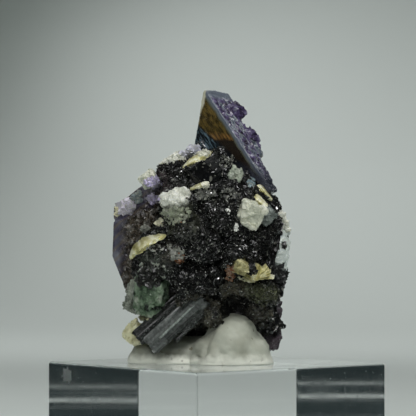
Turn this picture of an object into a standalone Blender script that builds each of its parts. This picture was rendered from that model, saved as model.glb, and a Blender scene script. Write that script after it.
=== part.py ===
"""Phantom fluorite on a black tourmaline matrix, held by putty on a clear acrylic block.

Run with: blender --background --python part.py
The row frame is in metres, +Z up, with its origin at the middle of the block's underside. The specimen
is laid out in its own frame: X to the right and Y away from a viewer of its matrix side, Z up from the
block's top. Sizes in that frame are in millimetres, and one empty turns it on the block.
"""
import math
import random

import bmesh
import bpy
from mathutils import Euler, Matrix, Vector, noise

# Driving dimensions, in millimetres and degrees
MM = 0.001
BLOCK_SIDE = 50.8
BLOCK_HEIGHT = 25.4
BLOCK_EDGE = 0.5
SPECIMEN_TURN = -39.1
GAP = 0.3
SEED = 7

# The large cube: its near top corner, its edges to the left, away and down to the right, and how they
# rise, tip and turn
CUBE_EDGES = Vector((25.8, 22.5, 19.0))
CUBE_CORNER = Vector((-3.3, 0.6, 47.1))
CUBE_RISE = 35.5
CUBE_TIP = -2.0
CUBE_YAW = -22.0

# The crown: its near top corner, its length down the right side, its depth and its breadth
CROWN_CORNER = Vector((-2.5, 1.2, 58.4))
CROWN_LENGTH = 27.0
CROWN_DEPTH = 14.0
CROWN_BREADTH = 17.0

# Flat growth faces that cut the crown: a point from its corner and the way out, along the cube's edges
CROWN_CUTS = (
    ((0.0, 0.0, 0.0), (-1.0, 0.0, 1.0)),
    ((0.0, 14.0, -2.0), (0.0, 1.0, -0.42)),
    ((0.0, 14.0, 0.0), (0.75, 0.65, 0.3)),
    ((0.0, 0.0, -1.2), (0.9, -0.1, 0.5)),
)

# Smaller cubes on the large one, along its edges from the near top corner: low, high, lean in degrees
STEP_CUBES = (
    ((-22.0, 15.0, -4.6), (-10.0, 24.6, 2.6), (0, 0, 0)),
    ((-14.5, 17.6, -21.0), (-3.4, 24.4, -11.8), (0, 0, 0)),
    ((-28.0, 9.4, -18.0), (-19.0, 18.4, -8.0), (3, 2, 4)),
    ((-7.8, 17.0, -9.4), (-0.9, 24.0, 0.8), (2, -3, 3)),
    ((-27.2, 12.0, -8.0), (-22.4, 20.0, -2.6), (0, 0, 0)),
    ((-18.6, 19.5, -14.6), (-12.6, 23.7, -9.0), (-2, 3, 0)),
)

# Etched lumps down the crown's outer side: centre and size
ETCHED_LUMPS = (
    ((3.9, 9.4, 53.4), (3.4, 4.4, 3.6)),
    ((6.9, 8.8, 47.9), (3.4, 4.4, 3.4)),
    ((8.4, 8.4, 44.9), (3.4, 4.0, 3.0)),
    ((10.6, 7.6, 40.0), (3.0, 3.6, 3.6)),
)

# The crystal face at the left edge: its middle, and the planes that cut it, as a point and the way out
LEFT_CRYSTAL = Vector((-12.6, 6.4, 24.0))
LEFT_CUTS = (
    ((-21.2, 0, 18.8), (-0.9, 0.1, -0.44)),
    ((-12.0, 0, 32.6), (-0.35, -0.1, 0.93)),
)
FLUORITE_LEFT = -22.8

# Sections of the matrix from its foot up: height, left, right, front, back
MATRIX_SECTIONS = (
    (4.0, -11.0, 9.0, 0.0, 11.5),
    (8.0, -14.5, 11.4, -3.5, 12.5),
    (12.0, -16.6, 12.2, -6.5, 13.5),
    (18.0, -17.6, 13.4, -9.5, 13.5),
    (23.0, -17.4, 14.2, -11.0, 12.5),
    (27.0, -15.0, 14.2, -11.4, 10.5),
    (31.0, -11.8, 13.6, -11.2, 8.5),
    (35.0, -11.2, 11.8, -10.2, 7.0),
    (39.0, -10.8, 9.0, -8.8, 6.0),
    (42.0, -8.5, 6.2, -7.0, 5.0),
    (44.0, -4.5, 3.0, -4.5, 3.5),
)
MATRIX_SQUARENESS = 2.6
MATRIX_RELIEF = 1.3
MATRIX_CELL = 5.0

# Crystal blocks grown into the matrix: centre, size, turn in degrees about X, Y and Z
MATRIX_CRYSTALS = (
    ((-1.6, -6.2, 40.2), (9.5, 6.0, 7.0), (-8, -27, 14)),
    ((8.6, -4.0, 34.5), (3.6, 5.5, 14.0), (6, -30, -12)),
    ((11.6, -0.5, 29.0), (4.0, 7.0, 10.5), (0, -20, 20)),
    ((-9.6, -1.8, 40.6), (4.6, 4.4, 3.8), (20, -40, 10)),
    ((-6.0, -8.6, 34.0), (6.5, 5.0, 5.5), (15, 20, -25)),
    ((3.2, -10.0, 30.0), (7.0, 4.6, 8.0), (-12, 35, 10)),
    ((-3.0, -11.0, 25.0), (8.5, 4.6, 7.0), (10, -15, -12)),
    ((5.5, -10.4, 22.0), (7.5, 4.8, 6.5), (-18, 25, 20)),
    ((-10.5, -9.4, 21.5), (8.0, 4.6, 5.5), (12, 30, -15)),
    ((-4.0, -9.2, 17.0), (9.0, 5.0, 6.5), (25, -10, 8)),
    ((10.8, -7.0, 16.5), (5.5, 5.0, 7.5), (-10, 15, 30)),
    ((-1.5, -6.6, 11.8), (9.5, 5.0, 4.4), (35, 38, -6)),
    ((13.3, 0.5, 19.0), (3.4, 3.4, 3.4), (10, 40, 25)),
    ((10.8, 8.0, 10.5), (4.0, 6.0, 7.0), (5, -8, 30)),
    ((-12.0, 9.5, 12.0), (7.0, 6.0, 6.5), (20, 30, 15)),
    ((1.0, 12.0, 9.0), (10.0, 6.0, 6.0), (-20, 12, 5)),
    ((-7.0, 14.0, 10.5), (5.0, 5.0, 5.5), (15, -30, 40)),
    ((7.5, 13.5, 13.0), (5.5, 5.0, 6.0), (-15, 25, 35)),
)

# Set pieces: name, material, centre, size, turn in degrees, chipped corners
SET_CRYSTALS = (
    ("black_prism", "schorl", (-11.2, -7.2, 9.7), (13.5, 3.6, 3.6), (20, -41, 0), 0),
    ("grey_prism", "grey_schorl", (-8.0, -7.8, 8.6), (15.5, 4.2, 4.0), (38, -42, 0), 0),
    ("green_fluorite", "green_fluorite", (-13.9, -6.4, 15.4), (7.6, 7.0, 11.6), (10, 12, -20), 12),
    ("white_feldspar", "feldspar", (-7.9, -9.6, 34.2), (6.4, 4.6, 4.2), (15, -8, 12), 14),
    ("pale_quartz", "quartz", (7.2, -10.6, 31.6), (4.8, 4.8, 5.0), (20, 25, 15), 8),
    ("smoky_quartz", "grey_quartz", (10.2, -8.6, 31.2), (3.0, 3.6, 3.6), (10, 40, 25), 6),
    ("edge_quartz", "grey_quartz", (12.2, -1.0, 24.0), (4.4, 6.6, 8.0), (0, 8, 20), 8),
    ("edge_feldspar", "feldspar", (13.1, -1.6, 29.6), (3.0, 4.0, 4.0), (10, -20, 15), 6),
    ("left_quartz", "quartz", (-15.5, -1.2, 13.8), (5.4, 5.6, 6.8), (5, 12, 25), 8),
    ("yellow_feldspar", "yellow_feldspar", (-16.9, -2.6, 6.3), (4.4, 4.6, 4.8), (10, 30, 20), 10),
    ("top_feldspar", "feldspar", (-8.9, -0.4, 42.2), (5.0, 5.4, 3.0), (8, -34, 10), 8),
    ("upper_quartz", "quartz", (-14.1, 1.2, 38.8), (3.2, 4.6, 2.6), (10, -36, 0), 6),
    ("gold_feldspar", "yellow_feldspar", (4.9, -12.8, 20.6), (3.4, 3.0, 3.0), (25, 15, 30), 10),
    ("smoky_tip", "smoky", (11.6, 10.0, 7.4), (3.6, 4.4, 10.4), (-6, 6, 20), 6),
)

# Curved mica blades: name, points along the blade, breadth, thickness, turn of the blade about its run
BLADES = (
    ("left_mica", ((-17.9, -9.2, 21.6), (-16.8, -10.8, 24.0), (-14.2, -11.6, 26.0), (-10.4, -11.2, 27.6)), 3.6, 1.3, 62),
    ("top_mica", ((-7.0, -7.6, 41.2), (-5.4, -8.2, 42.8), (-3.0, -7.6, 44.2), (0.0, -6.2, 45.4)), 4.0, 1.3, 66),
    ("hook_mica", ((-5.6, -11.2, 36.8), (-3.8, -11.6, 37.5), (-2.6, -11.6, 38.2), (-1.9, -11.4, 37.6)), 2.4, 0.7, 40),
    ("right_mica", ((8.3, -8.4, 35.9), (9.6, -8.6, 34.0), (10.8, -8.4, 32.6), (12.0, -8.0, 31.2)), 3.4, 0.8, 120),
    ("outer_mica", ((8.6, -5.6, 38.0), (9.8, -5.8, 36.6), (10.9, -5.4, 35.2), (11.9, -4.8, 34.2)), 3.4, 1.0, 120),
)
BLADE_STEPS = 8
BLADE_SIDES = 8

# The fan of mica plates on the right: its root, and each plate's turn, length, breadth and sideways shift
FAN_ROOT = Vector((8.2, -10.6, 17.6))
FAN_PLATES = (
    (-142, 3.0, 2.4, 0.17),
    (-112, 3.6, 2.8, -0.13),
    (-80, 3.8, 2.6, 0.08),
    (-48, 3.8, 3.0, -0.21),
    (-18, 3.4, 2.5, 0.12),
)
FAN_THICKNESS = 0.75

# The putty: a pressed ball on the right and a flatter tongue to the left
PUTTY_LUMPS = (
    ((4.8, -2.2, 3.6), (6.6, 8.8, 6.9)),
    ((-5.5, -1.5, 1.6), (10.5, 8.4, 4.6)),
    ((-14.6, -1.6, 1.7), (3.2, 3.6, 2.6)),
    ((2.5, 6.0, 2.4), (9.0, 6.0, 4.6)),
)
PUTTY_FOOT = 0.3

COLOURS = {
    "acrylic": ((0.86, 0.93, 0.92), 0.02),
    "putty": ((0.62, 0.63, 0.53), 0.6),
    "schorl": ((0.012, 0.012, 0.014), 0.25),
    "grey_schorl": ((0.09, 0.10, 0.10), 0.35),
    "fluorite": ((0.30, 0.24, 0.42), 0.08),
    "green_fluorite": ((0.12, 0.24, 0.15), 0.15),
    "feldspar": ((0.74, 0.73, 0.62), 0.5),
    "yellow_feldspar": ((0.60, 0.52, 0.22), 0.4),
    "quartz": ((0.62, 0.66, 0.56), 0.2),
    "grey_quartz": ((0.42, 0.46, 0.44), 0.2),
    "mica": ((0.70, 0.66, 0.40), 0.35),
    "smoky": ((0.07, 0.05, 0.08), 0.2),
}


def clear_scene():
    for obj in list(bpy.data.objects):
        bpy.data.objects.remove(obj)


def make_material(name):
    colour, roughness = COLOURS[name]
    material = bpy.data.materials.new(name)
    material.use_nodes = True
    shader = material.node_tree.nodes["Principled BSDF"]
    shader.inputs["Base Color"].default_value = (*colour, 1.0)
    shader.inputs["Roughness"].default_value = roughness
    shader.inputs["Metallic"].default_value = 0.0
    return material


def turned(degrees_xyz):
    return Euler([math.radians(d) for d in degrees_xyz]).to_matrix().to_4x4()


def lattice():
    """The large cube's edges: X up to the right, Y away, Z up to the left."""
    return (
        Matrix.Rotation(math.radians(CUBE_YAW), 4, "Z")
        @ Matrix.Rotation(math.radians(CUBE_TIP), 4, "X")
        @ Matrix.Rotation(math.radians(-CUBE_RISE), 4, "Y")
    )


class Specimen:
    """Holds the collections, the empty that turns the specimen, and the pieces made so far."""

    def __init__(self):
        scene = bpy.context.scene.collection
        self.parts = bpy.data.collections.new("phantom_fluorite")
        self.cutters = bpy.data.collections.new("cutters")
        scene.children.link(self.parts)
        scene.children.link(self.cutters)
        self.materials = {name: make_material(name) for name in COLOURS}
        self.stand = bpy.data.objects.new("specimen_stand", None)
        self.stand.location.z = BLOCK_HEIGHT * MM
        self.stand.rotation_euler.z = math.radians(SPECIMEN_TURN)
        self.parts.objects.link(self.stand)
        self.placed = []

    def add(self, name, bm, material):
        """A piece from a bmesh in the specimen's frame, in millimetres."""
        bm.transform(Matrix.Scale(MM, 4))
        mesh = bpy.data.meshes.new(name)
        bm.to_mesh(mesh)
        bm.free()
        obj = bpy.data.objects.new(name, mesh)
        mesh.materials.append(self.materials[material])
        self.parts.objects.link(obj)
        obj.parent = self.stand
        return obj

    def hide(self, obj):
        self.parts.objects.unlink(obj)
        self.cutters.objects.link(obj)
        obj.hide_render = True
        obj.display_type = "WIRE"

    def helper(self, name, bm, material="schorl"):
        obj = self.add(name, bm, material)
        self.hide(obj)
        return obj


def apply_boolean(obj, other, operation):
    modifier = obj.modifiers.new(operation.lower(), "BOOLEAN")
    modifier.operation = operation
    modifier.object = other
    modifier.solver = "MANIFOLD"
    graph = bpy.context.evaluated_depsgraph_get()
    mesh = bpy.data.meshes.new_from_object(obj.evaluated_get(graph))
    obj.modifiers.clear()
    obj.data = mesh


def keep_largest(obj):
    """Cuts leave crumbs, so only the largest loose part of the mesh stays."""
    bm = bmesh.new()
    bm.from_mesh(obj.data)
    bm.verts.ensure_lookup_table()
    part_of = {}
    sizes = []
    for start in range(len(bm.verts)):
        if start in part_of:
            continue
        part_of[start] = len(sizes)
        stack = [start]
        size = 0
        while stack:
            vert = bm.verts[stack.pop()]
            size += 1
            for edge in vert.link_edges:
                other = edge.other_vert(vert).index
                if other not in part_of:
                    part_of[other] = len(sizes)
                    stack.append(other)
        sizes.append(size)
    largest = sizes.index(max(sizes))
    crumbs = [vert for vert in bm.verts if part_of[vert.index] != largest]
    bmesh.ops.delete(bm, geom=crumbs, context="VERTS")
    bm.to_mesh(obj.data)
    bm.free()


def joined(specimen, name, material, shapes):
    """One solid from closed shapes that overlap."""
    obj = specimen.add(name, shapes[0], material)
    for number, shape in enumerate(shapes[1:]):
        apply_boolean(obj, specimen.helper(f"{name}_{number}", shape, material), "UNION")
    return obj


def bounds(obj):
    corners = [vert.co for vert in obj.data.vertices]
    low = Vector([min(c[i] for c in corners) for i in range(3)])
    high = Vector([max(c[i] for c in corners) for i in range(3)])
    return low, high


def meet(a, b):
    low_a, high_a = bounds(a)
    low_b, high_b = bounds(b)
    return all(low_a[i] < high_b[i] and low_b[i] < high_a[i] for i in range(3))


def make_piece(specimen, name, material, shapes):
    """A piece clear of those made before it; shapes(margin) gives its closed shapes, grown by the margin."""
    piece = joined(specimen, name, material, shapes(0.0))
    for cutter in specimen.placed:
        if meet(piece, cutter):
            apply_boolean(piece, cutter, "DIFFERENCE")
    keep_largest(piece)
    piece.data.materials.clear()
    piece.data.materials.append(specimen.materials[material])
    cutter = joined(specimen, "room_for_" + name, material, shapes(GAP))
    specimen.hide(cutter)
    specimen.placed.append(cutter)
    return piece


def box(low, high, transform, margin=0.0):
    """A box primitive between two corners, grown by the margin, then placed."""
    low = Vector(low) - Vector((margin, margin, margin))
    high = Vector(high) + Vector((margin, margin, margin))
    bm = bmesh.new()
    bmesh.ops.create_cube(bm, size=1.0)
    middle = Matrix.Translation((low + high) / 2)
    bm.transform(transform @ middle @ Matrix.Diagonal((*(high - low), 1.0)))
    return bm


def slice_off(bm, point, normal):
    """Cuts away what lies beyond a plane and closes the cut."""
    geometry = bm.verts[:] + bm.edges[:] + bm.faces[:]
    bmesh.ops.bisect_plane(
        bm, geom=geometry, plane_co=point, plane_no=normal, clear_outer=True, dist=1e-7
    )
    open_edges = [edge for edge in bm.edges if edge.is_boundary]
    bmesh.ops.holes_fill(bm, edges=open_edges, sides=0)
    bm.normal_update()
    bmesh.ops.recalc_face_normals(bm, faces=bm.faces)


def chipped_block(centre, size, turn, chips, seed, margin=0.0):
    """A crystal block with some of its corners and edges broken or grown off flat."""
    chance = random.Random(seed)
    size = Vector(size)
    bm = box(-size / 2, size / 2, Matrix.Identity(4), margin)
    for _ in range(chips):
        way = Vector([chance.uniform(-1, 1) for _ in range(3)]).normalized()
        reach = sum(abs(way[i]) * size[i] / 2 for i in range(3))
        slice_off(bm, way * (reach * chance.uniform(0.62, 0.80) + margin), way)
    bm.transform(Matrix.Translation(centre) @ turned(turn))
    return bm


def make_block(specimen):
    bpy.ops.mesh.primitive_cube_add(size=1.0)
    block = bpy.context.object
    block.name = "acrylic_block"
    block.data.transform(Matrix.Diagonal((BLOCK_SIDE * MM, BLOCK_SIDE * MM, BLOCK_HEIGHT * MM, 1.0)))
    block.location.z = BLOCK_HEIGHT * MM / 2
    block.data.materials.append(specimen.materials["acrylic"])
    bevel = block.modifiers.new("edges", "BEVEL")
    bevel.width = BLOCK_EDGE * MM
    bevel.segments = 2
    for collection in list(block.users_collection):
        collection.objects.unlink(block)
    specimen.parts.objects.link(block)
    reach = BLOCK_SIDE
    room = box((-reach, -reach, -BLOCK_HEIGHT), (reach, reach, GAP), Matrix.Identity(4))
    specimen.placed.append(specimen.helper("room_for_block", room))


def fluorite_shapes(margin):
    """The large cube, the crown above it and the smaller cubes, grown together in one solid."""
    left, away, down = CUBE_EDGES
    place = Matrix.Translation(CUBE_CORNER) @ lattice()
    shapes = [box((-left, 0, -down), (0, away, 0), place, margin)]

    crown_place = Matrix.Translation(CROWN_CORNER) @ lattice()
    crown = box((-CROWN_BREADTH, 0, -CROWN_LENGTH), (0, CROWN_DEPTH, 0), crown_place, margin)
    axes = lattice().to_3x3()
    for corner, lean in CROWN_CUTS:
        way = (axes @ Vector(lean)).normalized()
        slice_off(crown, CROWN_CORNER + axes @ Vector(corner) + way * margin, way)
    shapes.append(crown)

    for low, high, lean in STEP_CUBES:
        shapes.append(box(low, high, place @ turned(lean), margin))
    for number, (centre, size) in enumerate(ETCHED_LUMPS):
        turn = (20 * number, -CUBE_RISE, 30)
        shapes.append(chipped_block(centre, size, turn, 7, SEED + 20 + number, margin))

    left = box((-7, -7, -9.6), (7, 7, 9.6), Matrix.Translation(LEFT_CRYSTAL) @ turned((0, 3, 38)), margin)
    for point, way in LEFT_CUTS:
        way = Vector(way).normalized()
        slice_off(left, Vector(point) + way * margin, way)
    shapes.append(left)

    for shape in shapes:
        slice_off(shape, Vector((FLUORITE_LEFT - margin, 0, 0)), Vector((-1, 0, 0.03)))
    return shapes


def section_at(height):
    """Left, right, front and back of the matrix at a height, between the sections."""
    rows = MATRIX_SECTIONS
    height = min(max(height, rows[0][0]), rows[-1][0])
    for below, above in zip(rows, rows[1:]):
        if height <= above[0]:
            share = (height - below[0]) / (above[0] - below[0])
            return [a + (b - a) * share for a, b in zip(below[1:], above[1:])]
    return list(rows[-1][1:])


def matrix_point(way):
    """Where the matrix's surface is, for a direction from its middle."""
    low, high = MATRIX_SECTIONS[0][0] - 1.2, MATRIX_SECTIONS[-1][0] + 1.0
    rise = math.copysign(abs(way.z) ** 0.85, way.z)
    height = (low + high) / 2 + rise * (high - low) / 2
    left, right, front, back = section_at(height)
    level = math.hypot(way.x, way.y)
    if level < 1e-6:
        return Vector(((left + right) / 2, (front + back) / 2, height))
    cos, sin = way.x / level, way.y / level
    power = MATRIX_SQUARENESS
    round_off = (abs(cos) ** power + abs(sin) ** power) ** (-1 / power)
    spread = min(1.0, level * 1.35)
    x = (left + right) / 2 + cos * round_off * spread * (right - left) / 2
    y = (front + back) / 2 + sin * round_off * spread * (back - front) / 2
    return Vector((x, y, height))


def facet_push(point, cell, relief):
    """Flat crystal faces: each noise cell has one plane of its own lean."""
    nearest = noise.voronoi(point / cell)[1][0]
    lean = noise.noise_vector(nearest * 3.7 + Vector((5.3, 1.7, 9.1)))
    return (point / cell - nearest).dot(lean) * relief + lean.x * relief * 0.5


def matrix_shapes(margin):
    """The black rock: a lofted body with leaning facets, and crystal blocks."""
    body = bmesh.new()
    bmesh.ops.create_icosphere(body, subdivisions=4, radius=1.0)
    for vert in body.verts:
        way = vert.co.normalized()
        point = matrix_point(way)
        vert.co = point + way * (facet_push(point, MATRIX_CELL, MATRIX_RELIEF) + margin)
    shapes = [body]
    for number, (centre, size, turn) in enumerate(MATRIX_CRYSTALS):
        shapes.append(chipped_block(centre, size, turn, 5, SEED + 40 + number, margin))
    return shapes


def prism(centre, size, turn, margin):
    """A tourmaline prism: six sides and flat ends."""
    bm = bmesh.new()
    bmesh.ops.create_cone(bm, cap_ends=True, segments=6, radius1=0.5, radius2=0.5, depth=1.0)
    lay_down = Matrix.Rotation(math.radians(90), 4, "Y")
    stretch = Matrix.Diagonal((*(length + 2 * margin for length in size), 1.0))
    roll = Matrix.Rotation(math.radians(turn[0]), 4, "X")
    bm.transform(Matrix.Translation(centre) @ turned((0, turn[1], turn[2])) @ roll @ stretch @ lay_down)
    return bm


def along(points, share):
    """A point on the smooth curve through four points."""
    spans = len(points) - 1
    place = min(share * spans, spans - 1e-6)
    first = int(place)
    t = place - first
    p = [Vector(points[min(max(first + k, 0), spans)]) for k in (-1, 0, 1, 2)]
    return 0.5 * (
        2 * p[1]
        + (p[2] - p[0]) * t
        + (2 * p[0] - 5 * p[1] + 4 * p[2] - p[3]) * t * t
        + (3 * p[1] - p[0] - 3 * p[2] + p[3]) * t * t * t
    )


def blade(points, breadth, thickness, lean, margin):
    """A curved plate of mica, thin at both ends: a cylinder primitive laid along the curve."""
    bm = bmesh.new()
    bmesh.ops.create_cone(bm, cap_ends=True, segments=BLADE_SIDES, radius1=1.0, radius2=1.0, depth=1.0)
    for step in range(1, BLADE_STEPS):
        geometry = bm.verts[:] + bm.edges[:] + bm.faces[:]
        level = step / BLADE_STEPS - 0.5
        bmesh.ops.bisect_plane(bm, geom=geometry, plane_co=(0, 0, level), plane_no=(0, 0, 1), dist=1e-5)
    for vert in bm.verts:
        share = vert.co.z + 0.5
        run = (along(points, min(share + 0.02, 1.0)) - along(points, max(share - 0.02, 0.0))).normalized()
        side = run.cross(Vector((0, -1, 0))).normalized()
        out = side.cross(run).normalized()
        angle = math.radians(lean)
        flat = out * math.sin(angle) + side * math.cos(angle)
        thin = flat.cross(run).normalized()
        swell = 0.35 + 0.65 * math.sin(math.pi * min(max(share, 0.0), 1.0)) ** 0.5
        middle = along(points, share) + run * margin * (2 * share - 1)
        across = vert.co.x * (breadth / 2 * swell + margin)
        vert.co = middle + flat * across + thin * vert.co.y * (thickness / 2 * swell + margin)
    bm.normal_update()
    bmesh.ops.recalc_face_normals(bm, faces=bm.faces)
    return bm


def fan_shapes(margin):
    """Mica plates that spread from one root."""
    shapes = []
    for angle, length, breadth, shift in FAN_PLATES:
        place = Matrix.Translation(FAN_ROOT) @ turned((-25 + 20 * shift, angle, -14 + 40 * shift))
        low = (-0.9 - shift, -breadth / 2, shift / 2 - FAN_THICKNESS / 2)
        plate = box(low, (length, breadth / 2, shift / 2 + FAN_THICKNESS / 2), place, margin)
        way = (place.to_3x3() @ Vector((1, 0.8, 0))).normalized()
        slice_off(plate, place @ Vector((length * 0.9, breadth * 0.3, 0)) + way * margin, way)
        shapes.append(plate)
    return shapes


def putty_shapes(margin):
    """The lump under the specimen: its foot is flat on the block."""
    shapes = []
    for centre, radii in PUTTY_LUMPS:
        bm = bmesh.new()
        bmesh.ops.create_icosphere(bm, subdivisions=3, radius=1.0)
        stretch = Matrix.Diagonal((*(radius + margin for radius in radii), 1.0))
        bm.transform(Matrix.Translation(centre) @ stretch)
        slice_off(bm, Vector((0, 0, PUTTY_FOOT - margin)), Vector((0, 0, -1)))
        shapes.append(bm)
    return shapes


def make_set_pieces(specimen):
    for number, (name, material, centre, size, turn, chips) in enumerate(SET_CRYSTALS):
        if name.endswith("prism"):
            shapes = lambda margin: [prism(centre, size, turn, margin)]
        else:
            shapes = lambda margin: [chipped_block(centre, size, turn, chips, SEED + number, margin)]
        make_piece(specimen, name, material, shapes)
    for name, points, breadth, thickness, lean in BLADES:
        make_piece(specimen, name, "mica", lambda margin: [blade(points, breadth, thickness, lean, margin)])
    make_piece(specimen, "mica_fan", "mica", fan_shapes)


def main():
    clear_scene()
    specimen = Specimen()
    make_block(specimen)
    make_piece(specimen, "fluorite_cube", "fluorite", fluorite_shapes)
    make_set_pieces(specimen)
    make_piece(specimen, "matrix", "schorl", matrix_shapes)
    make_piece(specimen, "putty", "putty", putty_shapes)


main()
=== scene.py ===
"""The looks of a phantom fluorite specimen: zoned fluorite on black tourmaline, stuck on a clear block.

The specimen is laid out in its own frame, in millimetres: X to the right and Y away from a viewer of its
matrix side, Z up from the block's top. STAND turns that frame on the block, in the row frame.
"""
import itertools
import math

import bmesh
import bpy
import numpy as np
from mathutils import Euler, Matrix, Vector
from mathutils.bvhtree import BVHTree


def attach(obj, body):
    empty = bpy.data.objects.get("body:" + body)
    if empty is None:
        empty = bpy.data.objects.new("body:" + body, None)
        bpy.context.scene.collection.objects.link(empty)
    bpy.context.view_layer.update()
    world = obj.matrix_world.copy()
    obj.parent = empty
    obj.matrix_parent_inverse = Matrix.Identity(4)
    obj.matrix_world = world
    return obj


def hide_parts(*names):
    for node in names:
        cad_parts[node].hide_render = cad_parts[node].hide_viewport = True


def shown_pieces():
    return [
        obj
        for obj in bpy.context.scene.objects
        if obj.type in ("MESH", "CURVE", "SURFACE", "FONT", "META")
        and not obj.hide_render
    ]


MM = 0.001
BLOCK_SIDE = 50.8
BLOCK_HEIGHT = 25.4
BLOCK_EDGE = 0.5

# A smudge on the block's left side
SMUDGE = (-32.4, -2.4, -2.6)

SPECIMEN_TURN = -39.1
STAND = Matrix.Translation((0, 0, BLOCK_HEIGHT * MM)) @ Matrix.Rotation(math.radians(SPECIMEN_TURN), 4, "Z")
SEED = 7

# Fineness of the skins, in millimetres
PUTTY_VOXEL = 0.35
ROCK_VOXEL = 0.3
FLUORITE_VOXEL = 0.33
GREEN_VOXEL = 0.25
LUMP_VOXEL = 0.22

# The fluorite's crystal axes, and the near top corner of the crown
LATTICE_TURN = (-2.0, -35.5, -22.0)
CROWN_CORNER = Vector((-2.5, 1.2, 58.4))

# Putty: ellipsoids pressed on the block, centre and radii
PUTTY_LUMPS = (
    ((3.6, -2.2, 3.7), (6.1, 8.8, 6.8)),
    ((-5.5, 1.8, 1.5), (10.5, 7.0, 4.4)),
    ((-14.6, -0.6, 1.7), (3.2, 3.6, 2.6)),
    ((2.5, 6.0, 2.4), (9.0, 6.0, 4.6)),
    ((7.4, -2.6, 2.3), (4.0, 6.6, 5.0)),
    ((-0.2, -2.2, 1.9), (5.2, 8.0, 4.3)),
)

# Dents in the putty's near side: X and Z, radius and depth
PUTTY_DENTS = (
    ((-3.6, 1.4), 0.45, 1.2),
    ((-2.4, 3.0), 0.9, 0.4),
    ((9.3, 6.0), 1.6, 0.7),
)

# Where the putty's tongue folds against its ball: X at a height, and how far it leans with height
PUTTY_FOLD = (-1.8, 4.0, 0.35)
PUTTY_FOOT = 2.4
PUTTY_FLARE = 0.6

# Mica blades: name, points along the blade, breadth, thickness, lean about its run, CAD node
BLADES = (
    (
        "left_blade",
        ((-17.8, -9.2, 22.0), (-16.5, -10.6, 24.0), (-14.0, -11.4, 25.7), (-10.2, -11.0, 27.0)),
        2.5, 0.7, 44, "left_mica",
    ),
    (
        "top_blade",
        ((-6.9, -7.6, 40.9), (-4.9, -8.4, 42.2), (-2.3, -7.9, 43.7), (-0.3, -6.4, 44.9)),
        2.3, 0.6, 52, "top_mica",
    ),
    (
        "hook_blade",
        ((-5.3, -11.2, 36.5), (-4.2, -11.6, 36.9), (-3.1, -11.8, 37.3), (-1.7, -11.6, 37.7)),
        1.2, 0.3, 40, "hook_mica",
    ),
    (
        "right_blade",
        ((12.0, -8.0, 31.4), (10.9, -8.4, 32.6), (9.6, -8.6, 34.0), (8.4, -8.4, 35.6)),
        3.2, 0.45, 112, "right_mica",
    ),
    (
        "outer_blade",
        ((11.8, -4.8, 34.3), (10.9, -5.4, 35.3), (9.9, -5.8, 36.5), (9.0, -5.6, 37.6)),
        3.2, 0.55, 108, "outer_mica",
    ),
)
BLADE_LEAVES = 7
LEAF_THICKNESS = 0.12
FAN_ROOT = Vector((8.2, -10.6, 17.6))
FAN_LEAVES = 15

# Colours of the rock by place: centre, radii, colour
BLACK = (0.013, 0.013, 0.012)
ZONES = (
    ((-7.4, -10.0, 30.4), (4.6, 4.0, 3.0), (0.11, 0.115, 0.08)),
    ((-12.0, -9.0, 21.5), (5.0, 5.0, 3.4), (0.060, 0.068, 0.055)),
    ((-8.6, -10.0, 22.6), (2.8, 3.0, 2.4), (0.11, 0.10, 0.08)),
    ((-4.4, -7.0, 10.0), (7.0, 7.0, 5.4), (0.105, 0.098, 0.068)),
    ((4.4, -8.0, 15.6), (4.6, 5.0, 2.2), (0.115, 0.105, 0.074)),
    ((10.6, -3.0, 9.0), (3.8, 6.0, 8.0), (0.085, 0.078, 0.060)),
    ((9.4, -8.0, 14.6), (3.4, 4.0, 2.8), (0.10, 0.11, 0.06)),
    ((-12.5, -3.0, 36.5), (4.4, 5.0, 3.8), (0.075, 0.058, 0.060)),
    ((0.0, 10.0, 12.0), (14.0, 6.0, 9.0), (0.030, 0.030, 0.026)),
)

# Thin tourmaline bars along the grey prism: X, Y, Z, length, thickness, tone. The first bar's high tone
# makes it a pale strip of painted highlight along the prism's ridge.
BARS = (
    # Painted highlight: a thin pale bar along the prism's ridge that faces the light.
    (-7.9, -10.0, 9.2, 10.4, 0.6, 3.0),
    (-6.6, -9.0, 8.4, 9.6, 1.2, 0.34),
    (-5.4, -8.2, 7.8, 8.2, 1.1, 0.2),
    (-4.6, -8.5, 9.2, 6.4, 0.8, 0.3),
)

# Rust stains: centre and radii
RUST = (
    ((3.2, -12.0, 19.4), (1.3, 2.5, 2.4)),
    ((-7.6, -11.0, 22.4), (1.2, 2.5, 1.4)),
    ((-8.4, -10.5, 30.2), (1.0, 2.5, 0.8)),
    ((-6.2, -10.5, 30.6), (0.8, 2.5, 0.6)),
    ((-11.6, -9.0, 30.4), (0.7, 2.5, 0.5)),
    ((-7.5, -10.0, 36.8), (0.8, 2.5, 0.6)),
)

# Where large crystal faces stay smooth: centre and radii
CALM = (
    ((-2.4, -9.0, 40.6), (4.4, 5.0, 4.4)),
    ((8.6, -5.0, 35.0), (2.2, 4.0, 5.0)),
)

# Where the rock draws back from crystals and has no grains: centre and radii
BARE = (
    ((13.4, -3.0, 24.2), (2.8, 7.0, 4.6)),
    ((9.0, 0.0, 42.0), (4.6, 12.0, 5.4)),
    ((13.6, 0.0, 12.0), (1.8, 12.0, 7.0)),
)

# The dark arch over the putty: centre, radii and depth
ARCH_CENTRE = np.array((4.4, -8.0, 11.4))
ARCH_RADII = np.array((4.0, 8.0, 3.6))
ARCH_DEPTH = 6.0

# Grains of the rock: piece, nearest and farthest Y, most grains, smallest size
GRAINS = (
    ("fine_grains", -40.0, -8.6, 24000, 0.15),
    ("middle_grains", -8.6, 0.0, 21500, 0.18),
    ("side_grains", 0.0, 40.0, 17500, 0.30),
)
GRAIN_SPOTS = 110000
GROUP_SIZE = 2.4
GROUPS = 200

# Below this X the green crystal is drawn in by this share
GREEN_SIDE = -16.0
GREEN_SQUEEZE = 0.5

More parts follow.
